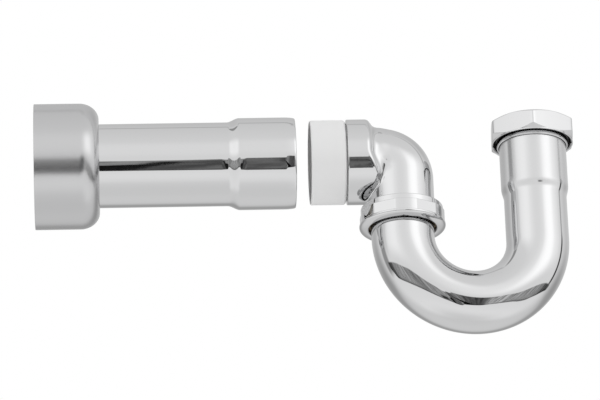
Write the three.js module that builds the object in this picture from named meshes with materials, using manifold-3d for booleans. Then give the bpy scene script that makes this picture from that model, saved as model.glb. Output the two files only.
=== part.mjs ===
// Chromed 1-1/2 inch P-trap: wall flange, cover tube, PVC pipe adapter, cast elbow,
// swivelling J-bend, and the union and inlet slip nuts with their seals.
// Units are millimetres, +Z is up. The trap is drawn around the point where the level pipe
// axis (X) meets the upright outlet axis (Z); the finished assembly is then moved so that
// its origin is the bottom centre of its bounding box.
import * as THREE from 'three';
import { mergeVertices } from 'three/addons/utils/BufferGeometryUtils.js';
import Module from 'manifold-3d';

const wasm = await Module();
wasm.setup();

// ---- driving dimensions -------------------------------------------------------------------
const TUBE_OD = 38.1;            // 1-1/2 inch tubular brass
const TUBE_WALL = 1.1;
const COVER_OD = 50.8;           // 2 inch cover tube
const COVER_WALL = 0.9;
const PIPE_OD = 48.26;           // 1-1/2 inch plastic drain pipe
const FLANGE_OD = 76.2;          // 3 inch wall flange
const THREAD_MAJOR_R = 23.4;     // external threads of the slip joints
const THREAD_CLEARANCE = 0.3;    // radial, between an external thread and its nut
const PIECE_GAP = 0.3;           // between pieces that rest on each other

const FLANGE = { left: -221.3, length: 39.1, wall: 0.9, straight: 27.3, neckRise: 2.1 };
const COVER = { left: -216, bellStart: -105.5, bellOgee: 7.6, bellOD: 55.8, right: -63.6,
                lipLength: 4, lipDrop: 0.6 };
const ADAPTER = { left: -54.7, right: -33.2, od: 51.4, socketDepth: 19, boreR: 19.5,
                  threadLength: 13.4, edgeR: 1.6 };
const ELBOW = { bendR: 12.4, legR: 20.5, boreR: 16.8, collarLeft: -32.6, collarR: 26,
                collarLength: 13.2, coneLength: 3.6, socketDepth: 15.1,
                threadTop: -32.2, bottom: -38.5 };
const BEND = { radius: 41.4, centreZ: -50, swivelDeg: 6.7, outletTop: -41.1,
               socketStart: -22.4, socketOgee: 7.5, socketOD: 40.8, socketTop: 21.7 };
// Each nut is drawn with its open, threaded end at height 0 and its closed end at the top.
const UNION_NUT = { height: 13.5, acrossFlats: 50.1, cornerR: 26, collarR: 24.9,
                    collarHeight: 3.6, flangeStart: 10.5, flangeR: 26.1, flangeEdge: 11.4,
                    domeR: 21.2, holeR: 20.5, endWall: 1.2 };
const INLET_NUT = { height: 12.9, acrossFlats: 49, cornerR: 28, rimR: 24.9, rimHeight: 0.7,
                    chamferTop: 2.6, endFaceR: 24.2, holeR: 19.5, endWall: 1.8 };
const END_CHAMFER_DEG = 30;      // on the closed end of the inlet nut
const UNION = { nutBottom: -45.1, nutTurnDeg: 2 };
const INLET = { nutTop: 27.1, nutTurnDeg: -9.7, ferruleBottom: 12.3, ferruleLipR: 21.8,
                threadStart: 16.5, ferruleTop: 22 };
const WASHER = 1.8;              // rubber seal thickness
const FRICTION_RING = 0.6;       // thin metal ring between a seal and its nut

const ROUND_STEPS = 32;          // facets around every turned piece
const SWEEP_STEPS = 26;          // rings along the J-bend

// ---- finishes -----------------------------------------------------------------------------
const CHROME = { color: 0xd9dadb, roughness: 0.06, metalness: 1 };
const SATIN = { color: 0xb9bbbc, roughness: 0.34, metalness: 1 };
const STEEL = { color: 0x9fa2a4, roughness: 0.4, metalness: 1 };
const BRASS = { color: 0xb08d4a, roughness: 0.35, metalness: 1 };
const WHITE_PVC = { color: 0xe9e9e7, roughness: 0.4, metalness: 0 };
const RUBBER = { color: 0x1d1d1e, roughness: 0.75, metalness: 0 };

// ---- geometry helpers ---------------------------------------------------------------------
const TURN = Math.PI * 2;
const QUARTER = Math.PI / 2;
const deg = THREE.MathUtils.degToRad;

// Points of an arc in the (radius, height) plane, angles measured from the radius axis.
function arc(centreR, centreH, radius, from, to, steps) {
  const points = [];
  for (let i = 0; i <= steps; i += 1) {
    const angle = from + ((to - from) * i) / steps;
    points.push([centreR + radius * Math.cos(angle), centreH + radius * Math.sin(angle)]);
  }
  return points;
}

// Smooth S between two radii, as points of a turned profile.
function ogee(r0, h0, r1, h1, steps) {
  const points = [];
  for (let i = 0; i <= steps; i += 1) {
    const t = i / steps;
    const blend = THREE.MathUtils.smoothstep(t, 0, 1);
    points.push([r0 + (r1 - r0) * blend, h0 + (h1 - h0) * t]);
  }
  return points;
}

function signedArea(points) {
  let area = 0;
  for (let i = 0; i < points.length; i += 1) {
    const [x0, y0] = points[i];
    const [x1, y1] = points[(i + 1) % points.length];
    area += (x0 * y1 - x1 * y0) / 2;
  }
  return area;
}

// A profile of [radius, height] points, turned about Z or X. The profile is a closed loop,
// unless both its ends lie on the axis.
function turned(profile, axis = 'z') {
  const outward = signedArea(profile) > 0 ? profile : [...profile].reverse();
  const loop = outward.map(([r, h]) => new THREE.Vector2(r, h));
  const endsOnAxis = loop[0].x === 0 && loop[loop.length - 1].x === 0;
  if (!endsOnAxis) loop.push(loop[0].clone());
  const geometry = new THREE.LatheGeometry(loop, ROUND_STEPS);
  if (axis === 'x') return geometry.rotateZ(-QUARTER);
  return geometry.rotateX(QUARTER);
}

// A plain ring or, with innerR 0, a plain disc.
function ring(innerR, outerR, low, high, axis = 'z') {
  return turned([[innerR, low], [outerR, low], [outerR, high], [innerR, high]], axis);
}

function solid(geometry) {
  const source = geometry.clone();
  source.deleteAttribute('normal');
  source.deleteAttribute('uv');
  const merged = mergeVertices(source);
  return new wasm.Manifold(new wasm.Mesh({
    numProp: 3,
    vertProperties: new Float32Array(merged.attributes.position.array),
    triVerts: new Uint32Array(merged.index.array),
  }));
}

function joined(...geometries) {
  return geometries.map(solid).reduce((total, next) => total.add(next));
}

function toGeometry(manifold) {
  const mesh = manifold.getMesh();
  const geometry = new THREE.BufferGeometry();
  geometry.setAttribute('position', new THREE.BufferAttribute(mesh.vertProperties, 3));
  geometry.setIndex(new THREE.BufferAttribute(mesh.triVerts, 1));
  geometry.computeVertexNormals();
  return geometry;
}

function part(name, geometry, finish) {
  const mesh = new THREE.Mesh(geometry, new THREE.MeshStandardMaterial(finish));
  mesh.name = name;
  return mesh;
}

// ---- wall flange and cover tube -----------------------------------------------------------
const coverR = COVER_OD / 2;
const flangeHoleR = coverR + 0.6;

function flangeShell() {
  const { left, length, wall, straight, neckRise } = FLANGE;
  const outerR = FLANGE_OD / 2;
  const right = left + length;
  const shoulderR = length - straight;
  const neckR = flangeHoleR + neckRise;
  const squash = (outerR - neckR) / shoulderR;
  const shoulder = (inset) => arc(0, 0, shoulderR - inset, 0, QUARTER, 6)
    .map(([r, h]) => [neckR + r * squash, left + straight + h]);
  return turned([
    [outerR, left],
    ...shoulder(0),
    [flangeHoleR, right],
    [flangeHoleR, right - wall],
    ...shoulder(wall).reverse(),
    [outerR - wall, left],
  ], 'x');
}

// Split spring ring that lets the flange grip the cover tube.
function flangeGripRing() {
  const right = FLANGE.left + FLANGE.length - FLANGE.wall - 0.5;
  const gap = 0.22;
  const shape = new THREE.Shape();
  shape.absarc(0, 0, coverR + 1.7, gap, TURN - gap, false);
  shape.absarc(0, 0, coverR + 0.4, TURN - gap, gap, true);
  const geometry = new THREE.ExtrudeGeometry(shape, {
    depth: 2.4, bevelEnabled: false, curveSegments: ROUND_STEPS / 2,
  });
  geometry.rotateY(-QUARTER);
  return geometry.translate(right, 0, 0);
}

function coverTube() {
  const { left, bellStart, bellOgee, bellOD, right, lipLength, lipDrop } = COVER;
  const bellR = bellOD / 2;
  const outside = [
    [coverR, left],
    ...ogee(coverR, bellStart, bellR, bellStart + bellOgee, 6),
    [bellR, right - lipLength],
    [bellR - lipDrop, right],
  ];
  const inside = outside.map(([r, h]) => [r - COVER_WALL, h]).reverse();
  return turned([...outside, ...inside], 'x');
}

// ---- plastic pipe adapter -----------------------------------------------------------------
const adapterThreadEnd = ADAPTER.right + ADAPTER.threadLength;

function pvcAdapter() {
  const { left, right, od, socketDepth, boreR, edgeR } = ADAPTER;
  const socketR = PIPE_OD / 2 + 0.1;
  const outerR = od / 2;
  return turned([
    [socketR, left],
    [outerR, left],
    ...arc(outerR - edgeR, right - edgeR, edgeR, 0, QUARTER, 4),
    [THREAD_MAJOR_R - THREAD_CLEARANCE, right],
    [THREAD_MAJOR_R - THREAD_CLEARANCE, adapterThreadEnd],
    [boreR, adapterThreadEnd],
    [boreR, left + socketDepth],
    [socketR, left + socketDepth],
  ], 'x');
}

// ---- cast elbow ---------------------------------------------------------------------------
const elbowSocketFloor = ELBOW.collarLeft + ELBOW.socketDepth;

// A quarter bend about the Y axis: the round section may be wider than the bend radius, so
// only the part of it on the outer side of the bend axis is turned.
function quarterBend(sectionR) {
  const { bendR } = ELBOW;
  const reach = Math.acos(-bendR / sectionR);
  const profile = arc(bendR, 0, sectionR, -reach, reach, 14)
    .map(([r, h]) => new THREE.Vector2(r, h));
  profile[0].x = 0;
  profile[profile.length - 1].x = 0;
  const wheel = new THREE.LatheGeometry(profile, ROUND_STEPS);
  const side = 2 * (bendR + sectionR);
  const quadrant = new THREE.BoxGeometry(side, side, side).translate(side / 2, 0, side / 2);
  return solid(wheel).intersect(solid(quadrant)).translate([-bendR, 0, -bendR]);
}

function elbowBody() {
  const { bendR, legR, boreR, collarLeft, collarR, collarLength, coneLength } = ELBOW;
  const overlap = 0.3;
  const collarRight = collarLeft + collarLength;
  const levelLeg = turned([
    [0, collarLeft],
    [collarR, collarLeft],
    [collarR, collarRight],
    [legR + 1.3, collarRight + coneLength - 1],
    [legR, collarRight + coneLength + 0.8],
    [legR, overlap - bendR],
    [0, overlap - bendR],
  ], 'x');
  const uprightLeg = turned([
    [0, ELBOW.bottom],
    [THREAD_MAJOR_R, ELBOW.bottom],
    [THREAD_MAJOR_R, ELBOW.threadTop],
    [legR, ELBOW.threadTop + 0.8],
    [legR, overlap - bendR],
    [0, overlap - bendR],
  ]);
  const socket = ring(0, THREAD_MAJOR_R + 0.4, collarLeft - 1, elbowSocketFloor, 'x');
  const levelBore = ring(0, boreR, collarLeft, overlap - bendR, 'x');
  const uprightBore = ring(0, boreR, ELBOW.bottom - 1, overlap - bendR);
  const body = joined(levelLeg, uprightLeg).add(quarterBend(legR));
  const hollow = joined(socket, levelBore, uprightBore).add(quarterBend(boreR));
  return toGeometry(body.subtract(hollow));
}

// ---- J-bend -------------------------------------------------------------------------------
// Planar path: down the outlet leg, round the half-circle and up the inlet leg.
class TrapPath extends THREE.Curve {
  constructor(radius, centreZ, start, end) {
    super();
    Object.assign(this, { radius, centreZ, down: start - centreZ, up: end - centreZ });
  }

  getPoint(t, target = new THREE.Vector3()) {
    const { radius, centreZ, down, up } = this;
    const bend = Math.PI * radius;
    const travelled = t * (down + bend + up);
    if (travelled < down) return target.set(0, 0, centreZ + down - travelled);
    if (travelled > down + bend) {
      return target.set(2 * radius, 0, centreZ + travelled - down - bend);
    }
    const angle = (travelled - down) / radius;
    return target.set(
      radius * (1 - Math.cos(angle)), 0, centreZ - radius * Math.sin(angle),
    );
  }
}

const inletX = 2 * BEND.radius;

function sweptTube(sectionR, start, end) {
  const points = [];
  for (let i = 0; i < ROUND_STEPS; i += 1) {
    const angle = (TURN * i) / ROUND_STEPS;
    points.push(new THREE.Vector2(sectionR * Math.cos(angle), sectionR * Math.sin(angle)));
  }
  const path = new TrapPath(BEND.radius, BEND.centreZ, start, end);
  return new THREE.ExtrudeGeometry(new THREE.Shape(points), {
    steps: SWEEP_STEPS, bevelEnabled: false, extrudePath: path,
  });
}

function jBendTube() {
  const { outletTop, socketStart, socketOgee, socketOD, socketTop } = BEND;
  const tubeR = TUBE_OD / 2;
  const socketR = socketOD / 2;
  const overlap = 2;
  const socketShape = (inset, top) => turned([
    [0, socketStart - overlap],
    [tubeR - inset - 0.1, socketStart - overlap],
    ...ogee(tubeR - inset, socketStart, socketR - inset, socketStart + socketOgee, 4),
    [socketR - inset, top],
    [0, top],
  ]).translate(inletX, 0, 0);
  const outside = joined(sweptTube(tubeR, outletTop, socketStart), socketShape(0, socketTop));
  const inside = joined(
    sweptTube(tubeR - TUBE_WALL, outletTop + 1, socketStart),
    socketShape(TUBE_WALL, socketTop + 1),
  );
  return toGeometry(outside.subtract(inside));
}

// Threaded ring on the J-bend's inlet socket, which the inlet nut screws onto.
function inletFerrule() {
  const innerR = BEND.socketOD / 2 + PIECE_GAP;
  const { ferruleBottom, ferruleLipR, threadStart, ferruleTop } = INLET;
  return turned([
    [innerR, ferruleBottom],
    [ferruleLipR, ferruleBottom],
    [ferruleLipR, threadStart - 0.8],
    [THREAD_MAJOR_R, threadStart],
    [THREAD_MAJOR_R, ferruleTop],
    [innerR, ferruleTop],
  ]).translate(inletX, 0, 0);
}

// ---- slip nuts ----------------------------------------------------------------------------
function hexPrism(acrossFlats, height) {
  const reach = acrossFlats / Math.sqrt(3);
  const corners = [];
  for (let i = 0; i < 6; i += 1) {
    const angle = (TURN * i) / 6;
    corners.push(new THREE.Vector2(reach * Math.cos(angle), reach * Math.sin(angle)));
  }
  return solid(new THREE.ExtrudeGeometry(new THREE.Shape(corners), {
    depth: height, bevelEnabled: false,
  }));
}

// Opens a nut blank up: a cavity for the thread, and a smaller hole through the closed end.
function opened(blank, { height, holeR, endWall }) {
  const threadR = THREAD_MAJOR_R + THREAD_CLEARANCE;
  const cavity = ring(0, threadR, -1, height - endWall);
  const hole = ring(0, holeR, 0, height + 1);
  return toGeometry(blank.subtract(joined(cavity, hole)));
}

// Round collar at the open end, a short hexagon, then a domed flange at the closed end.
function unionNutBody() {
  const { height, acrossFlats, cornerR, collarR, collarHeight } = UNION_NUT;
  const { flangeStart, flangeR, flangeEdge, domeR } = UNION_NUT;
  const corners = ring(0, cornerR, collarHeight, flangeStart + 0.5);
  const collar = ring(0, collarR, 0, collarHeight + 1);
  const dome = arc(0, 0, 1, 0, QUARTER, 5)
    .map(([r, h]) => [domeR + r * (flangeR - domeR), flangeEdge + h * (height - flangeEdge)]);
  const flange = turned([[0, flangeStart], [flangeR, flangeStart], ...dome, [0, height]]);
  const blank = hexPrism(acrossFlats, height).intersect(solid(corners));
  return opened(blank.add(joined(collar, flange)), UNION_NUT);
}

// Full hexagon, chamfered at both ends, with a thin round rim at the open end.
function inletNutBody() {
  const { height, acrossFlats, cornerR, rimR, rimHeight } = INLET_NUT;
  const { chamferTop, endFaceR } = INLET_NUT;
  const shoulder = height - (cornerR - endFaceR) * Math.tan(deg(END_CHAMFER_DEG));
  const corners = turned([
    [0, rimHeight],
    [rimR, rimHeight],
    [cornerR, chamferTop],
    [cornerR, shoulder],
    [endFaceR, height],
    [0, height],
  ]);
  const blank = hexPrism(acrossFlats, height).intersect(solid(corners));
  return opened(blank.add(solid(ring(0, rimR, 0, rimHeight + 1))), INLET_NUT);
}

// ---- assembly -----------------------------------------------------------------------------
const sealOuterR = THREAD_MAJOR_R - 0.7;
const tubeSleeveR = TUBE_OD / 2 + PIECE_GAP;

const trap = new THREE.Group();

trap.add(part('flange_shell', flangeShell(), SATIN));
trap.add(part('flange_grip_ring', flangeGripRing(), STEEL));
trap.add(part('cover_tube', coverTube(), CHROME));
trap.add(part('pvc_adapter', pvcAdapter(), WHITE_PVC));
trap.add(part(
  'adapter_seal',
  ring(ADAPTER.boreR, sealOuterR, adapterThreadEnd + PIECE_GAP, elbowSocketFloor - PIECE_GAP, 'x'),
  RUBBER,
));
trap.add(part('elbow_body', elbowBody(), CHROME));

// Union between the elbow and the J-bend, from the elbow down to the nut.
const unionSealTop = ELBOW.bottom - PIECE_GAP;
const unionSealBottom = unionSealTop - WASHER;
const endCollarTop = unionSealBottom - PIECE_GAP;
const endCollarBottom = endCollarTop - 1.8;
const unionRingTop = endCollarBottom - PIECE_GAP;
trap.add(part(
  'union_seal', ring(ELBOW.boreR, sealOuterR, unionSealBottom, unionSealTop), RUBBER,
));
const unionNut = part('union_nut', unionNutBody(), CHROME);
unionNut.position.z = UNION.nutBottom + UNION_NUT.height;
unionNut.rotation.set(Math.PI, 0, deg(90 - UNION.nutTurnDeg));
trap.add(unionNut);

// Everything that turns with the J-bend about the outlet axis.
const jBend = new THREE.Group();
jBend.rotation.z = deg(BEND.swivelDeg);
jBend.add(part('j_bend_tube', jBendTube(), CHROME));
jBend.add(part(
  'j_bend_end_collar', ring(tubeSleeveR, sealOuterR, endCollarBottom, endCollarTop), BRASS,
));
jBend.add(part(
  'union_friction_ring',
  ring(UNION_NUT.holeR + 0.2, sealOuterR, unionRingTop - FRICTION_RING, unionRingTop),
  STEEL,
));
jBend.add(part('inlet_ferrule', inletFerrule(), BRASS));

const inletSealBottom = INLET.ferruleTop + PIECE_GAP;
const inletRingBottom = inletSealBottom + WASHER + PIECE_GAP;
const inletSeal = ring(
  tubeSleeveR, sealOuterR, inletSealBottom, inletSealBottom + WASHER,
).translate(inletX, 0, 0);
const inletRing = ring(
  tubeSleeveR + 0.2, sealOuterR, inletRingBottom, inletRingBottom + FRICTION_RING,
).translate(inletX, 0, 0);
jBend.add(part('inlet_seal', inletSeal, RUBBER));
jBend.add(part('inlet_friction_ring', inletRing, STEEL));

const inletNut = part('inlet_nut', inletNutBody(), CHROME);
inletNut.position.set(inletX, 0, INLET.nutTop - INLET_NUT.height);
inletNut.rotation.z = deg(90 + INLET.nutTurnDeg);
jBend.add(inletNut);
trap.add(jBend);

// Put the origin at the bottom centre of the finished assembly.
const group = new THREE.Group();
group.add(trap);
group.updateMatrixWorld(true);
const bounds = new THREE.Box3().setFromObject(group, true);
const centre = bounds.getCenter(new THREE.Vector3());
trap.position.set(-centre.x, -centre.y, -bounds.min.z);

export default group;
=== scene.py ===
# A chromed P-trap: smooth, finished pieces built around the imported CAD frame.
# Lengths are millimetres in the trap's own frame, whose origin is where the level pipe axis
# (X) crosses the upright outlet axis (Z). Every mesh is moved into the row's frame, in metres.
import math

import bpy
import numpy as np
from mathutils import Matrix, Vector


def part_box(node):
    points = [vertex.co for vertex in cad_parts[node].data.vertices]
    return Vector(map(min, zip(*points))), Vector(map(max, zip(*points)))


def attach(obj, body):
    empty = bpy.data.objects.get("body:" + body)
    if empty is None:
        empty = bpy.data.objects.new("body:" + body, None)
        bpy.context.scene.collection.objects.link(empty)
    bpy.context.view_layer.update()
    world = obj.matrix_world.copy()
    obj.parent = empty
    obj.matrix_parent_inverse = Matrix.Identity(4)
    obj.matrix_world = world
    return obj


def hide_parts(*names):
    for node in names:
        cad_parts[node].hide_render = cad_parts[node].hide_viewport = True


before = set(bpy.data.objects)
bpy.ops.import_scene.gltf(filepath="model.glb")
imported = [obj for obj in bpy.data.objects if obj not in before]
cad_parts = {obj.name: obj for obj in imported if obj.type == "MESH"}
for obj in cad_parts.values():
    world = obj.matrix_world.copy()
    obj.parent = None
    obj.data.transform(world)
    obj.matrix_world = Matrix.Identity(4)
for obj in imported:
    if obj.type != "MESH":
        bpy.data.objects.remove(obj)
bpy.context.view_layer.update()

# ---- places taken from the frame -------------------------------------------------------------
MM = 0.001


def middle(node):
    low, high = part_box(node)
    return (low + high) / 2


CROSSING = Vector((*middle("union_nut").xy, middle("pvc_adapter").z))
INLET_OFFSET = (middle("inlet_ferrule") - CROSSING).xy / MM
SWIVEL = math.atan2(INLET_OFFSET.y, INLET_OFFSET.x)
LEG_SPACING = INLET_OFFSET.length


class Extent:
    """A node's box in millimetres from the crossing: low and high corners, and outer radius."""

    def __init__(self, node, axis="z"):
        low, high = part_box(node)
        self.low = (low - CROSSING) / MM
        self.high = (high - CROSSING) / MM
        self.start = getattr(self.low, axis)
        self.end = getattr(self.high, axis)
        self.radius = (self.high.y - self.low.y) / 2


# ---- dimensions that the boxes don't give ----------------------------------------------------
TUBE_R = 19.05            # 1-1/2 inch tubular brass
TUBE_WALL = 1.1
SOCKET_R = 20.4           # inlet socket of the J-bend
SOCKET_START = -22.4      # height where the tube begins to widen
SOCKET_OGEE = 7.5         # length over which it widens
COVER_R = 25.4            # 2 inch cover tube
COVER_WALL = 0.9
BELL_START = -104.9       # where the cover tube begins to widen
BELL_OGEE = 7.6
BELL_LIP = 4.0            # the bell's end turns in over this length
BELL_DROP = 0.6           # and by this much
FLANGE_WALL = 0.9
FLANGE_STRAIGHT = 27.3    # length of the flange's straight side
FLANGE_HOLE_R = 26.0
FLANGE_NECK_R = 28.1      # where its rounded shoulder ends
GRIP_RING_WALL = 1.3
GRIP_RING_HALF_GAP = 0.22  # radians
PIPE_SOCKET_R = 24.2
PIPE_SOCKET_DEPTH = 19.0
ADAPTER_FACE = -33.2      # the adapter's shoulder, against the elbow's collar
ADAPTER_BORE_R = 19.5
LEG_R = 19.9              # cast elbow: the upright leg, which widens towards the collar
LEG_DRAFT = 1.0
LEG_CREASE = 4.0          # rounding where the two legs meet on the inner side
BORE_R = 16.8
BEND_R = 12.4
COLLAR_RIGHT = -19.4      # end of the elbow's collar, where its cone begins
COLLAR_FURTHER = 4.5      # the collar reaches this much further below its axis
CONE_LENGTH = 3.6
CONE_DROP = 5.5
CONE_ROUND = 1.6
COLLAR_FILLET = 2.4       # between collar and legs
SIDE_FILLET = 5.0         # added to it on the collar's upper half, at the outlet leg
ELBOW_SOCKET_DEPTH = 15.1
THREAD_TOP = -32.2
THREAD_R = 22.95          # mean radius of a male thread
THREAD_DEPTH = 0.55
THREAD_PITCH = 25.4 / 11.5
THREAD_GAP = 0.6          # female threads are this much wider, so that turning never clips
FEMALE_R = THREAD_R + THREAD_GAP
UNION_HOLE_R = 20.5
UNION_FLAT_R = 25.04      # from the union nut's axis to a flat
UNION_CORNER_R = 26.0
UNION_CORNER = math.radians(-88)
UNION_HEX_START = 10.5    # below the nut's top
UNION_HEX_END = 3.6
RIM_R = 24.9              # round rim beside each nut's hexagon
RIM_HEIGHT = 0.7
INLET_FLAT_R = 24.5
INLET_CORNER = math.radians(87)
INLET_HOLE_R = 19.5
INLET_END_WALL = 1.8
CHAMFER = math.radians(30)
BACK_CHAMFER = 0.61       # rise of the inlet nut's other chamfer for each mm outwards
CROWN = 0.05              # how far a nut's flats bulge towards a circle
CROWN_R = 26.0            # radius of that circle
NUT_FACE_R = 24.2         # flat end of the inlet nut, inside its chamfer
LIP_HEIGHT = 3.4          # lip of the ferrule below its thread
THREAD_START = 4.2        # of the ferrule, above its foot
TURN = 2 * math.pi


# ---- outlines --------------------------------------------------------------------------------
def outline(corners, steps=6):
    """Closed outline through (radius, height, cut) corners, each rounded back by its cut.

    A corner may give two cuts, before and after it. Any number may be an array with one
    value for each angle around the piece. The result is points x angles x (radius, height).
    """
    size = max(np.size(value) for corner in corners for value in corner)
    full = [[np.broadcast_to(np.asarray(v, float), size) for v in c] for c in corners]
    points = [np.stack(c[:2], -1) for c in full]
    count_of = len(points)
    edges = [points[(i + 1) % count_of] - points[i] for i in range(count_of)]
    lengths = [np.linalg.norm(edge, axis=-1) + 1e-9 for edge in edges]
    ways = [edge / length[:, None] for edge, length in zip(edges, lengths)]
    wanted = [full[i][-1] + full[(i + 1) % count_of][2] + 1e-9 for i in range(count_of)]
    room = [np.minimum(1, 0.98 * length / cuts) for length, cuts in zip(lengths, wanted)]
    rows = []
    for i, corner in enumerate(full):
        here, back, on = points[i], -ways[i - 1], ways[i]
        first = here + back * (corner[2] * room[i - 1])[:, None]
        last = here + on * (corner[-1] * room[i])[:, None]
        straight = np.sum(-back * on, -1, keepdims=True)
        weight = np.sqrt(np.clip((1 + straight) / 2, 0.01, 1))
        count = 1 if np.max(corner[2]) == 0 else steps
        for t in np.linspace(0, 1, count + 1) if count > 1 else [0.5]:
            a, b, c = (1 - t) ** 2, 2 * weight * t * (1 - t), t * t
            rows.append((a * first + b * here + c * last) / (a + b + c))
    return np.array(rows)


def refined(rows, step, zone=(-1e9, 1e9), closed=True):
    """Adds rows so that no part of the outline inside the zone of heights is longer than step."""
    result = []
    for i, row in enumerate(rows):
        result.append(row)
        if i == len(rows) - 1 and not closed:
            break
        following = rows[(i + 1) % len(rows)]
        height, next_height = row[:, 1].mean(), following[:, 1].mean()
        low, high = sorted((height, next_height))
        if high <= zone[0] or low >= zone[1]:
            continue
        extra = int(abs(next_height - height) / step)
        for k in range(1, extra + 1):
            result.append(row + (following - row) * k / (extra + 1))
    return np.array(result)


def threaded(rows, angles, radius, start, end, closed=True):
    """Cuts a right-hand thread into the stretch of outline at this radius, start to end."""
    rows = refined(rows, THREAD_PITCH / 9, (start, end), closed)
    rows = np.broadcast_to(rows, (len(rows), len(angles), 2)).copy()
    height = rows[..., 1]
    phase = TURN * height / THREAD_PITCH - angles
    wave = np.tanh(2.2 * np.cos(phase)) / np.tanh(2.2)
    inside = np.minimum(height - start, end - height) / (0.5 * THREAD_PITCH)
    fade = np.clip(inside, 0, 1)
    near = np.abs(rows[..., 0] - radius) < 0.02
    rows[..., 0] += np.where(near, wave * fade * THREAD_DEPTH / 2, 0)
    return rows


def around(count):
    return np.arange(count) * TURN / count


def ogee(r0, h0, r1, h1, steps=10):
    """Corners of a smooth S between two radii."""
    fractions = np.linspace(0, 1, steps + 1)
    eased = fractions**2 * (3 - 2 * fractions)
    return [(r0 + (r1 - r0) * e, h0 + (h1 - h0) * f, 0) for f, e in zip(fractions, eased)]


# ---- meshes ----------------------------------------------------------------------------------
def grid_of(x, y, z):
    return np.stack(np.broadcast_arrays(x, y, z), -1)


def about_z(rows, angles, offset=(0, 0)):
    radius, height = rows[..., 0], rows[..., 1]
    x = radius * np.cos(angles) + offset[0]
    y = radius * np.sin(angles) + offset[1]
    return grid_of(x, y, height)


def about_x(rows, angles):
    radius, height = rows[..., 0], rows[..., 1]
    return grid_of(height, radius * np.cos(angles), radius * np.sin(angles))


def skin(name, grid, materials, inner=None, ends=False):
    """A mesh of quads over rows x columns of points, closed round both ways.

    inner marks the rows that take the second material. With ends, the columns don't close:
    the first and the last column are capped instead.
    """
    rows, columns = grid.shape[:2]
    index = np.arange(rows * columns).reshape(rows, columns)
    below, right = np.roll(index, -1, 0), np.roll(index, -1, 1)
    quads = np.stack((index, right, np.roll(below, -1, 1), below), -1)
    if ends:
        quads = quads[:, :-1]
    faces = quads.reshape(-1, 4)
    points = grid.reshape(-1, 3)
    a, b, c = (points[faces[:, k]] for k in (0, 1, 2))
    d = points[faces[:, 3]]
    volume = np.sum(a * np.cross(b, c)) + np.sum(a * np.cross(c, d))
    if volume < 0:
        faces = faces[:, ::-1]
    mesh = bpy.data.meshes.new(name)
    placed = points * MM + np.array(CROSSING)
    face_list = faces.tolist()
    if ends:
        caps = [index[:, 0].tolist(), index[::-1, -1].tolist()]
        face_list += [cap[::-1] for cap in caps] if volume < 0 else caps
    mesh.from_pydata(placed.tolist(), [], face_list)
    for material in materials:
        mesh.materials.append(material)
    if inner is not None:
        row_of_face = np.repeat(inner & np.roll(inner, -1), columns)
        mesh.polygons.foreach_set("material_index", row_of_face.astype(np.int32))
    mesh.polygons.foreach_set("use_smooth", np.ones(len(face_list), bool))
    mesh.update()
    piece = bpy.data.objects.new(name, mesh)
    bpy.context.scene.collection.objects.link(piece)
    normals = piece.modifiers.new("normals", "WEIGHTED_NORMAL")
    normals.keep_sharp = False
    return piece


def install(piece, body, slot, *nodes):
    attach(piece, body)
    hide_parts(*nodes)
    return piece


# ---- shader helpers --------------------------------------------------------------------------
class Value:
    """A number in a node tree, so that shader arithmetic reads as arithmetic."""

    def __init__(self, tree, socket):
        self.tree = tree
        self.socket = socket

    def math(self, operation, *others):
        node = self.tree.nodes.new("ShaderNodeMath")
        node.operation = operation
        for slot, value in zip(node.inputs, (self, *others)):
            if isinstance(value, Value):
                self.tree.links.new(value.socket, slot)
            else:
                slot.default_value = value
        return Value(self.tree, node.outputs[0])

    def __add__(self, other):
        return self.math("ADD", other)

    def __sub__(self, other):
        return self.math("SUBTRACT", other)

    def __mul__(self, other):
        return self.math("MULTIPLY", other)

    def __rsub__(self, other):
        return (self * -1.0) + other

    __radd__ = __add__
    __rmul__ = __mul__

    def step(self, low, high):
        """0 below low, 1 above high, smooth between; falls instead if low is above high."""
        node = self.tree.nodes.new("ShaderNodeMapRange")
        node.interpolation_type = "SMOOTHSTEP"
        falling = low > high
        self.tree.links.new(self.socket, node.inputs["Value"])
        node.inputs["From Min"].default_value = min(low, high)
        node.inputs["From Max"].default_value = max(low, high)
        node.inputs["To Min"].default_value = 1.0 if falling else 0.0
        node.inputs["To Max"].default_value = 0.0 if falling else 1.0
        return Value(self.tree, node.outputs["Result"])

    def band(self, low, high, soft):
        """1 between low and high, 0 outside, with soft edges."""
        return self.step(low - soft, low + soft) * self.step(high + soft, high - soft)

    def curve(self, points):
        """A smooth function through (position, value) points."""
        first, last = points[0][0], points[-1][0]
        top = max(value for _, value in points)
        node = self.tree.nodes.new("ShaderNodeFloatCurve")
        line = node.mapping.curves[0]
        for position, value in points[1:-1]:
            line.points.new((position - first) / (last - first), value / top)
        line.points[0].location = (0, points[0][1] / top)
        line.points[-1].location = (1, points[-1][1] / top)
        node.mapping.update()
        scaled = (self - first) * (1 / (last - first))
        self.tree.links.new(scaled.socket, node.inputs["Value"])
        return Value(self.tree, node.outputs["Value"]) * top


def mix(a, b, factor):
    return factor * (b - a) + a


def material(name):
    made = bpy.data.materials.new(name)
    made.use_nodes = True
    tree = made.node_tree
    return made, tree, tree.nodes["Principled BSDF"]


def place(tree, scale=(1, 1, 1)):
    """Object coordinates, scaled along each axis."""
    where = tree.nodes.new("ShaderNodeTexCoord")
    mapping = tree.nodes.new("ShaderNodeMapping")
    mapping.inputs["Scale"].default_value = scale
    tree.links.new(where.outputs["Object"], mapping.inputs["Vector"])
    return mapping.outputs["Vector"]


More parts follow.
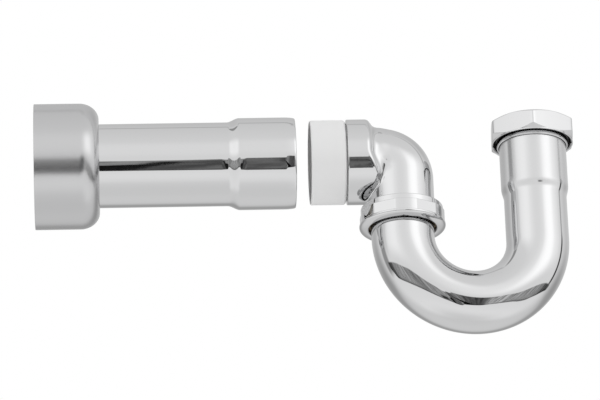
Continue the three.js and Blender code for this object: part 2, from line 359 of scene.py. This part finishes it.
def noise(tree, vector, scale, detail=3.0, roughness=0.5):
    node = tree.nodes.new("ShaderNodeTexNoise")
    node.inputs["Scale"].default_value = scale
    node.inputs["Detail"].default_value = detail
    node.inputs["Roughness"].default_value = roughness
    tree.links.new(vector, node.inputs["Vector"])
    return Value(tree, node.outputs["Fac"])


def bump(tree, shader, height, distance):
    node = tree.nodes.new("ShaderNodeBump")
    node.inputs["Distance"].default_value = distance
    node.inputs["Strength"].default_value = 1.0
    tree.links.new(height.socket, node.inputs["Height"])
    tree.links.new(node.outputs["Normal"], shader.inputs["Normal"])


def grey(value):
    return (value, value, value, 1)


def paint_grey(tree, shader, shade):
    """A grey base colour that varies over the surface."""
    colour = tree.nodes.new("ShaderNodeCombineColor")
    for slot in ("Red", "Green", "Blue"):
        tree.links.new(shade.socket, colour.inputs[slot])
    tree.links.new(colour.outputs[0], shader.inputs["Base Color"])


def paint_between(tree, shader, share, first, second):
    """A base colour that goes from the first to the second as share goes from 0 to 1."""
    tint = tree.nodes.new("ShaderNodeMix")
    tint.data_type = "RGBA"
    tint.inputs["A"].default_value = first
    tint.inputs["B"].default_value = second
    tree.links.new(share.socket, tint.inputs["Factor"])
    tree.links.new(tint.outputs["Result"], shader.inputs["Base Color"])


# ---- materials -------------------------------------------------------------------------------
def chrome(name, waviness, shade=0.64, hazy_above=None):
    """Bright chromium plate: faint polishing haze, and slow waves left in the metal below.

    Above the height hazy_above, in metres, the metal is less well polished.
    """
    made, tree, shader = material(name)
    where = place(tree)
    shader.inputs["Metallic"].default_value = 1
    shader.inputs["Base Color"].default_value = (shade, shade * 1.002, shade * 1.008, 1)
    haze = noise(tree, where, 55, 4)
    fine = noise(tree, where, 900, 2)
    rough = haze.step(0.45, 0.75) * 0.03 + fine * 0.02 + 0.02
    if hazy_above is not None:
        split = tree.nodes.new("ShaderNodeSeparateXYZ")
        tree.links.new(where, split.inputs["Vector"])
        height = Value(tree, split.outputs["Z"])
        rough = rough + height.step(hazy_above - 0.001, hazy_above + 0.001) * 0.13
    tree.links.new(rough.socket, shader.inputs["Roughness"])
    waves = noise(tree, where, 70, 2) + noise(tree, where, 260, 2) * 0.12
    bump(tree, shader, waves, waviness)
    return made


def raw_inside():
    """Unplated inner wall of the tubes: dull metal with water marks along it."""
    made, tree, shader = material("tube_inside")
    shader.inputs["Metallic"].default_value = 1
    stains = noise(tree, place(tree), 45, 5).step(0.35, 0.7)
    paint_between(tree, shader, stains, (0.42, 0.40, 0.36, 1), (0.30, 0.28, 0.24, 1))
    tree.links.new((stains * 0.15 + 0.38).socket, shader.inputs["Roughness"])
    bump(tree, shader, noise(tree, place(tree), 400, 4), 4e-5)
    return made


def painted_shade_recess():
    """Threads and the hollow of a nut: metal painted almost black, painted shade for the deep
    recess.
    """
    made, tree, shader = material("painted_shade_thread")
    shader.inputs["Metallic"].default_value = 1
    shade_patches = noise(tree, place(tree), 260, 4)
    # a grey of 0.03 to 0.08: painted shade that draws the recess near black
    paint_grey(tree, shader, shade_patches * 0.05 + 0.03)
    tree.links.new((shade_patches * 0.2 + 0.18).socket, shader.inputs["Roughness"])
    bump(tree, shader, shade_patches, 2e-5)
    return made


def satin():
    """Satin chromium on the spun wall flange, with fine rings left by the brush."""
    made, tree, shader = material("satin_chrome")
    shader.inputs["Metallic"].default_value = 1
    axis = place(tree, (1, 0, 0))
    rings = noise(tree, axis, 2600, 3, 0.7)
    patches = noise(tree, place(tree), 38, 3)
    tree.links.new((rings * 0.10 + patches * 0.06 + 0.13).socket, shader.inputs["Roughness"])
    shader.inputs["Base Color"].default_value = (0.555, 0.555, 0.56, 1)
    bump(tree, shader, rings + patches * 0.3, 1.2e-6)
    return made


def spring_steel():
    """Rolled spring steel with a fine grain."""
    made, tree, shader = material("spring_steel")
    shader.inputs["Metallic"].default_value = 1
    shader.inputs["Base Color"].default_value = (0.42, 0.42, 0.43, 1)
    grain = noise(tree, place(tree), 700, 4)
    tree.links.new((grain * 0.2 + 0.28).socket, shader.inputs["Roughness"])
    bump(tree, shader, grain, 1e-5)
    return made


def raw_brass():
    """Turned brass with patches of tarnish, its colour darkened as painted shade where it sits in
    the gap under the nut.
    """
    made, tree, shader = material("raw_brass")
    shader.inputs["Metallic"].default_value = 1
    turned = noise(tree, place(tree, (0, 0, 1)), 3000, 2)
    tarnish_and_shade = noise(tree, place(tree), 120, 4)
    # both tones are far darker than brass: painted shade for the collar in the gap, with tarnish
    # patches between them
    paint_between(tree, shader, tarnish_and_shade, (0.20, 0.15, 0.08, 1), (0.08, 0.06, 0.04, 1))
    tree.links.new((tarnish_and_shade * 0.2 + 0.2).socket, shader.inputs["Roughness"])
    bump(tree, shader, turned, 8e-6)
    return made


def white_pvc():
    """Moulded white PVC: a soft sheen over faint flow marks."""
    made, tree, shader = material("white_pvc")
    where = place(tree)
    flow = noise(tree, where, 60, 4)
    grain = noise(tree, where, 1400, 3)
    paint_grey(tree, shader, flow * 0.03 + 0.80)
    tree.links.new((grain * 0.12 + 0.36).socket, shader.inputs["Roughness"])
    shader.inputs["Subsurface Weight"].default_value = 0.15
    shader.inputs["Subsurface Scale"].default_value = 0.002
    shader.inputs["Subsurface Radius"].default_value = (1, 1, 1)
    bump(tree, shader, grain + flow * 4, 6e-6)
    return made


def seal_rubber():
    """Black moulded rubber with a little dust."""
    made, tree, shader = material("seal_rubber")
    grain = noise(tree, place(tree), 900, 5)
    tree.links.new((grain * 0.25 + 0.5).socket, shader.inputs["Roughness"])
    paint_grey(tree, shader, noise(tree, place(tree), 80, 4) * 0.02 + 0.012)
    bump(tree, shader, grain, 3e-5)
    return made


CHROME = chrome("chrome_tube", 6e-6)
CAST_CHROME = chrome("chrome_cast", 3e-5)
SOCKET_MIDDLE = CROSSING.z + (SOCKET_START + SOCKET_OGEE * 0.6) * MM
BEND_CHROME = chrome("chrome_bend", 6e-6, hazy_above=SOCKET_MIDDLE)
INSIDE = raw_inside()
PAINTED_SHADE = painted_shade_recess()
SATIN = satin()
STEEL = spring_steel()
SHADED_BRASS = raw_brass()
PVC = white_pvc()
RUBBER = seal_rubber()


# ---- flange and cover tube -------------------------------------------------------------------
def flange_shell():
    """Deep spun box: a straight side and one rounded shoulder, open at the wall."""
    size = Extent("flange_shell", "x")
    bend_start = size.start + FLANGE_STRAIGHT
    reach = size.radius - FLANGE_NECK_R
    depth = size.end - bend_start
    wall = FLANGE_WALL
    rows = outline([
        (size.radius, size.start, 0.3),
        (size.radius, size.end, depth, reach),
        (FLANGE_HOLE_R, size.end, 0.3),
        (FLANGE_HOLE_R, size.end - wall, 0.3),
        (size.radius - wall, size.end - wall, reach, depth - wall),
        (size.radius - wall, size.start, 0.3),
    ], 14)
    rows = refined(rows, 4)
    inner = np.arange(len(rows)) >= len(rows) // 2
    piece = skin("flange_shell_satin", about_x(rows, around(256)), [SATIN, INSIDE], inner)
    return install(piece, "flange", "satin_chrome", "flange_shell")


def cover_tube():
    """Plain tube with one belled end, whose lip turns in a little."""
    size = Extent("cover_tube", "x")
    bell_r = size.radius
    outside = [
        (COVER_R, size.start, 0.25),
        *ogee(COVER_R, BELL_START, bell_r, BELL_START + BELL_OGEE),
        (bell_r, size.end - BELL_LIP, 3),
        (bell_r - BELL_DROP, size.end, 1.4, 0.5),
    ]
    inside = [(c[0] - COVER_WALL, c[1], 0.2) for c in reversed(outside)]
    rows = refined(outline(outside + inside), 4)
    inner = np.arange(len(rows)) >= len(rows) // 2
    piece = skin("cover_tube_chrome", about_x(rows, around(256)), [CHROME, INSIDE], inner)
    return install(piece, "cover_tube", "chrome", "cover_tube")


def grip_ring():
    """Split spring ring inside the flange: a narrow strip bent into a C."""
    size = Extent("flange_grip_ring", "x")
    inner_r = size.radius - GRIP_RING_WALL
    gap = GRIP_RING_HALF_GAP
    angles = np.linspace(gap, TURN - gap, 97) + math.pi / 2
    rows = outline([
        (size.radius, size.start, 0.4),
        (size.radius, size.end, 0.4),
        (inner_r, size.end, 0.4),
        (inner_r, size.start, 0.4),
    ], 4)
    piece = skin("grip_ring_steel", about_x(rows, angles), [STEEL], ends=True)
    return install(piece, "flange", "spring_steel", "flange_grip_ring")


# ---- adapter ---------------------------------------------------------------------------------
def pvc_adapter():
    """Pipe socket at one end, male thread at the other."""
    size = Extent("pvc_adapter", "x")
    angles = around(192)
    socket_floor = size.start + PIPE_SOCKET_DEPTH
    rows = outline([
        (PIPE_SOCKET_R, size.start, 0.8),
        (size.radius, size.start, 0.9),
        (size.radius, ADAPTER_FACE, 1.8),
        (THREAD_R, ADAPTER_FACE, 0.5),
        (THREAD_R, size.end, 0.6),
        (ADAPTER_BORE_R, size.end, 0.5),
        (ADAPTER_BORE_R, socket_floor, 0.5),
        (PIPE_SOCKET_R, socket_floor, 0.3),
    ])
    rows = threaded(refined(rows, 4), angles, THREAD_R, ADAPTER_FACE + 1, size.end - 0.6)
    piece = skin("pipe_adapter_pvc", about_x(rows, angles), [PVC])
    return install(piece, "adapter", "white_pvc", "pvc_adapter")


def washer(name, node, inner_r, body, slot, finish, axis="z", on_inlet=False):
    """A turned ring that fills its node's box: a seal, collar or friction ring."""
    size = Extent(node, axis)
    angles = around(160)
    rows = outline([
        (inner_r, size.start, 0.25),
        (size.radius, size.start, 0.25),
        (size.radius, size.end, 0.25),
        (inner_r, size.end, 0.25),
    ])
    offset = INLET_OFFSET if on_inlet else (0, 0)
    grid = about_x(rows, angles) if axis == "x" else about_z(rows, angles, offset)
    return install(skin(name, grid, [finish]), body, slot, node)


# ---- elbow -----------------------------------------------------------------------------------
def soft_min(a, b, radius):
    """The smaller of two distances, blended smoothly where they are nearly equal."""
    h = np.clip(radius - np.abs(a - b), 0, None) / radius
    return np.minimum(a, b) - h * h * radius / 4


def ease(value, low, high):
    """0 below low, 1 above high, smooth between."""
    share = np.clip((value - low) / (high - low), 0, 1)
    return share * share * (3 - 2 * share)


def to_centreline(x, y, z):
    """Distance to the elbow's centreline, with the inner crease between its legs filled."""
    level = np.hypot(np.maximum(x + BEND_R, 0), np.hypot(y, z))
    upright = np.hypot(np.maximum(z + BEND_R, 0), np.hypot(x, y))
    ring = np.hypot(x + BEND_R, z + BEND_R)
    bend = np.hypot(ring - BEND_R, y)
    in_bend = (x > -BEND_R) & (z > -BEND_R)
    legs = soft_min(level, upright, LEG_CREASE)
    return np.where(in_bend, np.minimum(bend, legs), legs)


def elbow_outside(x, y, z):
    """Below zero inside the elbow's casting: its two legs, and the collar with its cone."""
    draft = 0.3 * ease(z, -10, 10) + 0.7 * ease(-x, 6, 15) * ease(z, -25, -10)
    legs = to_centreline(x, y, z) - LEG_R - LEG_DRAFT * draft
    collar_r = Extent("elbow_body", "x").radius
    out = np.hypot(y, z) - collar_r
    slope = math.hypot(CONE_LENGTH, CONE_DROP)
    further = COLLAR_FURTHER * ease(-z, 2, 16) * ease(z, -26, -20)
    cone = ((x - COLLAR_RIGHT - further) * CONE_DROP + out * CONE_LENGTH) / slope
    collar = -soft_min(-out, -cone, CONE_ROUND)
    to_upright = np.hypot(np.maximum(z + BEND_R, 0), np.hypot(x, y)) - LEG_R
    fillet = COLLAR_FILLET + SIDE_FILLET * ease(-to_upright, -10, 1) * ease(z, -14, -4)
    return soft_min(legs, collar, fillet)


def elbow_bore(x, y, z):
    """Below zero inside the elbow's waterway."""
    return to_centreline(x, y, z) - BORE_R


def fan(surface, pivot, angles, stations):
    """Sections of a surface by planes that turn about a pivot on the elbow's inner side."""
    step = 0.2
    reach = np.arange(2, 60, step)[:, None]
    columns = np.arange(len(angles))
    rows = []
    for turn in np.linspace(0, math.pi / 2, stations):
        out = np.array([math.sin(turn), math.cos(turn)])
        centre = centreline_crossing(pivot, out)
        x = centre[0] + reach * np.cos(angles) * out[0]
        z = centre[1] + reach * np.cos(angles) * out[1]
        y = reach * np.sin(angles)
        value = surface(x, y, z)
        first = np.argmax(value > 0, axis=0)
        inner, outer = value[first - 1, columns], value[first, columns]
        found = reach[first - 1, 0] + step * inner / (inner - outer)
        rows.append(np.stack((
            centre[0] + found * np.cos(angles) * out[0],
            found * np.sin(angles),
            centre[1] + found * np.cos(angles) * out[1],
        ), -1))
    return np.array(rows)


def centreline_crossing(pivot, out):
    """Where the ray from the pivot meets the elbow's centreline, as (x, z)."""
    level = np.array(pivot) + out * (-pivot[1] / max(out[1], 1e-9))
    if level[0] <= -BEND_R:
        return level
    upright = np.array(pivot) + out * (-pivot[0] / max(out[0], 1e-9))
    if upright[1] <= -BEND_R:
        return upright
    offset = np.array(pivot) + BEND_R
    along = offset @ out
    root = math.sqrt(along * along - offset @ offset + BEND_R * BEND_R)
    return np.array(pivot) + out * (root - along)


def elbow_body():
    """Pipe socket, collar and legs in one run of sections, then back along the bore."""
    size = Extent("elbow_body", "x")
    bottom = Extent("elbow_body").start
    angles = around(224)
    level_angles = math.pi / 2 - angles
    pivot = (COLLAR_RIGHT - 7.0, -size.radius - 2.4)
    socket_floor = size.start + ELBOW_SOCKET_DEPTH
    level_end = outline([
        (BORE_R, socket_floor + 1, 0),
        (BORE_R, socket_floor, 0.4),
        (FEMALE_R, socket_floor, 0.3),
        (FEMALE_R, size.start, 0.7),
        (size.radius, size.start, 0.7),
        (size.radius, pivot[0] - 0.4, 0),
    ])
    level_end = threaded(level_end, level_angles, FEMALE_R, size.start + 0.8,
                         socket_floor - 0.5, closed=False)
    lower_end = outline([
        (LEG_R, pivot[1] - 0.4, 0),
        (LEG_R, THREAD_TOP, 0.4),
        (THREAD_R, THREAD_TOP - 0.8, 0.4),
        (THREAD_R, bottom, 0.4),
        (BORE_R, bottom, 0.5),
        (BORE_R, -BORE_R - 2, 0),
    ])
    lower_end = threaded(lower_end, angles, THREAD_R, bottom + 0.3, THREAD_TOP - 0.6,
                         closed=False)
    bore_pivot = (-BORE_R + 0.2, -BORE_R - 1)
    grid = np.concatenate((
        about_x(level_end, level_angles),
        fan(elbow_outside, pivot, angles, 120),
        about_z(lower_end, angles),
        fan(elbow_bore, bore_pivot, angles, 40)[::-1],
    ))
    piece = skin("elbow_cast", grid, [CAST_CHROME])
    return install(piece, "elbow", "chrome", "elbow_body")


# ---- J-bend ----------------------------------------------------------------------------------
def j_bend_tube():
    """One tube bent through a half turn, from the union up to its widened inlet socket."""
    size = Extent("j_bend_tube")
    angles = around(144)
    outlet_top = Extent("j_bend_end_collar").end
    radius = LEG_SPACING / 2
    centre_z = size.start + radius + TUBE_R
    down = outlet_top - centre_z
    bend = math.pi * radius

    def along(z):
        """Path length from the outlet's end to a height on the inlet leg."""
        return down + bend + z - centre_z

    outside = [
        (TUBE_R, 0, 0.3),
        *ogee(TUBE_R, along(SOCKET_START), SOCKET_R, along(SOCKET_START + SOCKET_OGEE), 8),
        (SOCKET_R, along(size.end), 0.3),
    ]
    inside = [(c[0] - TUBE_WALL, *c[1:]) for c in reversed(outside)]
    rows = refined(outline(outside + inside), 1.6)
    travelled = rows[..., 1]
    turn = np.clip((travelled - down) / radius, 0, math.pi)
    before = np.minimum(travelled, down)
    after = np.maximum(travelled - down - bend, 0)
    centre_x = radius * (1 - np.cos(turn))
    centre_height = outlet_top - before - radius * np.sin(turn) + after
    # across the tube, in the plane of the bend and then square to it
    reach = rows[..., 0] * np.cos(angles)
    flat_x = centre_x + reach * np.cos(turn)
    flat_y = rows[..., 0] * np.sin(angles)
    grid = grid_of(
        flat_x * math.cos(SWIVEL) - flat_y * math.sin(SWIVEL),
        flat_x * math.sin(SWIVEL) + flat_y * math.cos(SWIVEL),
        centre_height + reach * np.sin(turn),
    )
    inner = np.arange(len(rows)) >= len(rows) // 2
    piece = skin("j_bend_chrome", grid, [BEND_CHROME, INSIDE], inner)
    return install(piece, "j_bend", "chrome", "j_bend_tube")


def inlet_ferrule():
    """Threaded ring on the inlet socket, with a plain lip at its foot."""
    size = Extent("inlet_ferrule")
    angles = around(192)
    lip_r = size.radius - 1.6
    inner_r = SOCKET_R + 0.3
    rows = outline([
        (inner_r, size.start, 0.2),
        (lip_r, size.start, 0.8),
        (lip_r, size.start + LIP_HEIGHT, 0.3),
        (THREAD_R, size.start + THREAD_START, 0.3),
        (THREAD_R, size.end, 0.4),
        (inner_r, size.end, 0.2),
    ])
    rows = threaded(rows, angles, THREAD_R, size.start + THREAD_START, size.end - 0.3)
    # above the lip's foot the ferrule takes the painted shade material, drawing the gap under the
    # nut dark
    painted_shade_rows = rows[:, 0, 1] > size.start + 1.1
    grid = about_z(rows, angles, INLET_OFFSET)
    piece = skin("inlet_ferrule_chrome", grid, [CHROME, PAINTED_SHADE], painted_shade_rows)
    return install(piece, "j_bend", "chrome", "inlet_ferrule")


# ---- nuts ------------------------------------------------------------------------------------
def hexagon(angles, apothem, corner_angle, sharpness):
    """Radius of a hexagon with slightly rounded corners, one of them at corner_angle."""
    total = 0
    for i in range(6):
        face = corner_angle + math.pi / 6 + i * math.pi / 3
        total = total + np.clip(np.cos(angles - face), 0, None) ** sharpness
    return apothem * total ** (-1 / sharpness)


def inside_of_nut(rows):
    """Marks the outline's rows past the nut's top, where it turns in to the thread; they take the
    painted shade material.
    """
    past_top = np.arange(len(rows)) > np.argmax(rows[..., 1].mean(1))
    return past_top & (rows[..., 0].max(1) < FEMALE_R + THREAD_DEPTH)


def union_nut():
    """Hexagon over a wide rounded flange, and a plain rim on top."""
    size = Extent("union_nut")
    angles = around(360)
    top, bottom = size.end, size.start
    flats = hexagon(angles, UNION_FLAT_R, UNION_CORNER, 400)
    hexagon_r = np.minimum(flats, UNION_CORNER_R)
    rows = outline([
        (UNION_HOLE_R, bottom + 0.5, 0.3),
        (UNION_HOLE_R + 0.6, bottom, 0.3),
        (size.radius, bottom, 4.9, 2.1),
        (size.radius, top - UNION_HEX_START, 0.35),
        (hexagon_r, top - UNION_HEX_START, 0.15),
        (hexagon_r, top - UNION_HEX_END, 0.3),
        (RIM_R, top - UNION_HEX_END, 0.15),
        (RIM_R, top, 0.5),
        (FEMALE_R + 0.6, top, 0.3),
        (FEMALE_R, top - 0.9, 0.1),
        (FEMALE_R, bottom + 1.2, 0.3),
        (UNION_HOLE_R, bottom + 1.2, 0.3),
    ])
    rows = threaded(rows, angles, FEMALE_R, bottom + 1.4, top - 0.9)
    # the nut's hollow and thread take the painted shade material
    piece = skin("union_nut_chrome", about_z(rows, angles), [CAST_CHROME, PAINTED_SHADE],
                 inside_of_nut(rows))
    return install(piece, "union_nut", "chrome", "union_nut")


def inlet_nut():
    """Hexagonal cap nut, chamfered at both ends, with a hole for the inlet pipe."""
    size = Extent("inlet_nut")
    angles = around(480)
    top, bottom = size.end, size.start
    flats = hexagon(angles, INLET_FLAT_R, INLET_CORNER, 60)
    across = flats + CROWN * (CROWN_R - flats)
    rim_top = bottom + RIM_HEIGHT
    chamfer_top = rim_top + np.clip(across - RIM_R, 0, None) * BACK_CHAMFER
    shoulder = top - (across - NUT_FACE_R) * math.tan(CHAMFER)
    ceiling = top - INLET_END_WALL
    rows = outline([
        (FEMALE_R + 0.7, bottom, 0.2),
        (RIM_R, bottom, 0.25),
        (RIM_R, rim_top, 0.1),
        (across, chamfer_top, 0.2),
        (across, shoulder, 0.5),
        (NUT_FACE_R, top, 0.9),
        (INLET_HOLE_R, top, 0.5),
        (INLET_HOLE_R, ceiling, 0.3),
        (FEMALE_R, ceiling, 0.3),
        (FEMALE_R, bottom + 0.9, 0.1),
    ])
    rows = threaded(rows, angles, FEMALE_R, bottom + 0.9, ceiling - 0.2)
    grid = about_z(rows, angles, INLET_OFFSET)
    # the nut's hollow and thread take the painted shade material
    piece = skin("inlet_nut_chrome", grid, [CAST_CHROME, PAINTED_SHADE], inside_of_nut(rows))
    return install(piece, "inlet_nut", "chrome", "inlet_nut")


flange_shell()
grip_ring()
cover_tube()
pvc_adapter()
washer("adapter_seal_rubber", "adapter_seal", ADAPTER_BORE_R, "adapter", "seal_rubber",
       RUBBER, "x")
elbow_body()
washer("union_seal_rubber", "union_seal", BORE_R, "elbow", "seal_rubber", RUBBER)
# the end collar takes brass darkened as painted shade
washer("j_bend_end_collar_brass", "j_bend_end_collar", TUBE_R + 0.3, "j_bend", "raw_brass",
       SHADED_BRASS)
washer("union_ring_steel", "union_friction_ring", UNION_HOLE_R + 0.2, "union_ring",
       "spring_steel", STEEL)
union_nut()
j_bend_tube()
inlet_ferrule()
washer("inlet_seal_rubber", "inlet_seal", TUBE_R + 0.3, "j_bend", "seal_rubber", RUBBER,
       on_inlet=True)
washer("inlet_ring_steel", "inlet_friction_ring", TUBE_R + 0.5, "inlet_ring", "spring_steel",
       STEEL, on_inlet=True)
inlet_nut()


# ---- camera ----------------------------------------------------------------------------------
CAMERA_YAW = math.radians(-2.675)
CAMERA_RISE = math.radians(-23.817)     # the camera is below the trap and looks up
CAMERA_ROLL = math.radians(-1.975)
CAMERA_DISTANCE = 2732.0
CAMERA_LEFT = 60.5        # the picture's centre lies this far left of the crossing
CAMERA_DOWN = 23.25       # and this far below it
LENS = 270.0


def add_camera():
    """A long lens from the front, below the trap and looking up at it."""
    flat = math.cos(CAMERA_RISE)
    back = Vector((math.sin(CAMERA_YAW) * flat, -math.cos(CAMERA_YAW) * flat,
                   math.sin(CAMERA_RISE)))
    level = Vector((math.cos(CAMERA_YAW), math.sin(CAMERA_YAW), 0))
    upright = back.cross(level)
    right = level * math.cos(CAMERA_ROLL) + upright * math.sin(CAMERA_ROLL)
    up = upright * math.cos(CAMERA_ROLL) - level * math.sin(CAMERA_ROLL)
    offset = back * CAMERA_DISTANCE - right * CAMERA_LEFT - up * CAMERA_DOWN
    data = bpy.data.cameras.new("camera")
    data.lens = LENS
    data.sensor_width = 36
    data.clip_end = 100
    camera = bpy.data.objects.new("camera", data)
    bpy.context.scene.collection.objects.link(camera)
    axes = Matrix((right, up, back)).transposed()
    camera.matrix_world = Matrix.Translation(CROSSING + offset * MM) @ axes.to_4x4()
    bpy.context.scene.camera = camera


add_camera()


# ---- studio ----------------------------------------------------------------------------------
def studio():
    """Light that depends on direction: azimuth from the camera's side, and elevation."""
    world = bpy.data.worlds.new("studio")
    bpy.context.scene.world = world
    world.use_nodes = True
    tree = world.node_tree
    background = tree.nodes["Background"]
    coordinates = tree.nodes.new("ShaderNodeTexCoord")
    split = tree.nodes.new("ShaderNodeSeparateXYZ")
    tree.links.new(coordinates.outputs["Generated"], split.inputs["Vector"])
    x, y, z = (Value(tree, split.outputs[i]) for i in range(3))
    azimuth = x.math("ARCTAN2", y * -1.0) * (180 / math.pi) - math.degrees(CAMERA_YAW)
    elevation = z.math("ARCSINE") * (180 / math.pi)
    light = tent(azimuth, elevation)
    level, inside = dark_gap(tree, azimuth, elevation)
    light = mix(light, level, inside)
    path = tree.nodes.new("ShaderNodeLightPath")
    seen = Value(tree, path.outputs["Is Camera Ray"])
    tree.links.new(mix(light, 1.0, seen).socket, background.inputs["Strength"])
    background.inputs["Color"].default_value = grey(1)


def tent(azimuth, elevation):
    """A white tent with a row of softboxes behind it, and its seams."""
    spread = azimuth.math("ABSOLUTE")
    front = elevation.curve([
        (-90, 0.86), (-76, 0.91), (-64, 1.02), (-53, 1.07), (-44, 1.05), (-3, 0.98),
        (32, 0.97), (59, 0.92), (90, 0.86)])
    back = elevation.curve([
        (-90, 0.86), (-70, 0.86), (-56, 0.88), (-35, 0.85), (-23, 0.70), (-7, 0.44),
        (8, 0.50), (24, 0.63), (38, 0.63), (64, 0.75), (90, 0.86)])
    boxes = azimuth.curve([
        (-180, 1.0), (-125, 1.0), (-90, 1.05), (-75, 0.86), (-66, 1.08), (-50, 1.27),
        (-38, 1.30), (-20, 1.16), (0, 1.06), (17, 1.13), (31, 1.43), (47, 1.58), (55, 1.53),
        (63, 1.35), (81, 1.14), (92, 1.03), (125, 1.2), (180, 1.0)])
    light = mix(front, back, spread.step(88, 128))
    light = light * mix(1.0, boxes, elevation.band(3, 38, 9))
    left_seam = azimuth.band(-98, -80, 4) * 0.6
    right_seam = azimuth.band(94, 100.5, 1.2) * mix(0.92, 0.35, elevation.step(16, 26))
    light = light * (1.0 - (left_seam + right_seam) * elevation.band(-14, 75, 5))
    top_seam = elevation.band(77.5, 81, 1) * spread.step(60, 120)
    return light * (1.0 - top_seam * 0.3)


def dark_gap(tree, azimuth, elevation):
    """The gap between the tent and the floor sweep: its light, and 1 inside its outline."""
    top = azimuth.curve([
        (-90, 4), (-57, 7), (-40, 8), (-26, 7), (-3, 7.6), (1, 9.5), (3.3, 11.4), (4.4, 9),
        (6.6, 9), (9, 5), (19, 4.5), (28, 5), (43, 10.8), (60, 12), (110, 12)]) * -1.0
    bottom = azimuth.curve([
        (-90, 6), (-82, 14), (-77, 21), (-53, 27), (-19, 30), (-6, 33), (1, 36), (3, 38),
        (7, 39), (10, 35), (22, 32), (35, 27.2), (46, 28), (63, 31), (78, 27), (97, 19),
        (110, 14)]) * -1.0
    level = azimuth.curve([
        (-90, 0.1), (-76, 0.12), (-66, 0.42), (-36, 0.42), (-20, 0.3), (-10, 0.42), (1, 0.4),
        (2.4, 0.36), (3.6, 0.19), (5, 0.15), (7, 0.15), (9, 0.34), (12.5, 0.14), (22, 0.1),
        (25, 0.25), (31, 0.62), (38, 0.46), (62, 0.42), (80, 0.36), (88, 0.12), (110, 0.1)])
    lines = noise(tree, combine(tree, azimuth * 0.9, elevation * 0.04), 1.0, 4, 0.7)
    level = level * mix(0.45, 1.35, lines.step(0.38, 0.6))
    rim = (elevation - bottom).step(0, 5)
    level = level * mix(0.35, 1.0, rim)
    figure = slanted(azimuth, elevation)
    blob = azimuth.band(-6.5, -0.5, 1.0) * elevation.band(-31, -24, 2)
    level = level * (1.0 - figure * 0.97) * (1.0 - blob * 0.9)
    inside = (elevation - bottom).step(-0.8, 0.8) * (elevation - top).step(0.8, -0.8)
    return level, inside * azimuth.band(-86, 102, 3)


def slanted(azimuth, elevation):
    """The leaning black shape reflected at the left end of the cover tube."""
    centre = azimuth.curve([(1, 30), (3.0, 30), (3.2, 25), (3.4, 20), (3.8, 16), (5, 16)])
    half = azimuth.curve([(1, 0), (2, 9), (3.0, 8.5), (3.3, 6.5), (3.6, 3), (3.8, 0), (5, 0)])
    offset = (elevation + centre).math("ABSOLUTE")
    return (offset - half).step(0.6, -0.6)


def combine(tree, x, y):
    """A vector from two numbers."""
    node = tree.nodes.new("ShaderNodeCombineXYZ")
    tree.links.new(x.socket, node.inputs["X"])
    tree.links.new(y.socket, node.inputs["Y"])
    return node.outputs["Vector"]


studio()


FLOOR_REACH = 60.0        # metres from the middle
FLOOR_HEIGHT = -0.012     # metres, just below the trap


def floor():
    """A wide pale floor, seen only from above, fading to the backdrop far from the trap."""
    made, tree, shader = material("floor_paint")
    output = tree.nodes["Material Output"]
    shader.inputs["Base Color"].default_value = grey(0.82)
    shader.inputs["Roughness"].default_value = 0.8
    geometry = tree.nodes.new("ShaderNodeNewGeometry")
    where = tree.nodes.new("ShaderNodeVectorMath")
    where.operation = "LENGTH"
    tree.links.new(geometry.outputs["Position"], where.inputs[0])
    far = Value(tree, where.outputs["Value"]).step(0.25, 1.1)
    white = tree.nodes.new("ShaderNodeEmission")
    clear = tree.nodes.new("ShaderNodeBsdfTransparent")
    fade = tree.nodes.new("ShaderNodeMixShader")
    tree.links.new(far.socket, fade.inputs["Fac"])
    tree.links.new(shader.outputs[0], fade.inputs[1])
    tree.links.new(white.outputs[0], fade.inputs[2])
    side = tree.nodes.new("ShaderNodeMixShader")
    tree.links.new(geometry.outputs["Backfacing"], side.inputs["Fac"])
    tree.links.new(fade.outputs[0], side.inputs[1])
    tree.links.new(clear.outputs[0], side.inputs[2])
    tree.links.new(side.outputs[0], output.inputs["Surface"])
    mesh = bpy.data.meshes.new("floor")
    corners = [(-1, -1), (1, -1), (1, 1), (-1, 1)]
    points = [(x * FLOOR_REACH, y * FLOOR_REACH, FLOOR_HEIGHT) for x, y in corners]
    mesh.from_pydata(points, [], [(0, 1, 2, 3)])
    mesh.materials.append(made)
    sheet = bpy.data.objects.new("floor", mesh)
    bpy.context.scene.collection.objects.link(sheet)
    sheet.visible_glossy = False
    sheet.visible_diffuse = False
    sheet.visible_shadow = False
    sheet.visible_transmission = False


floor()
bpy.context.scene.view_settings.view_transform = "Standard"
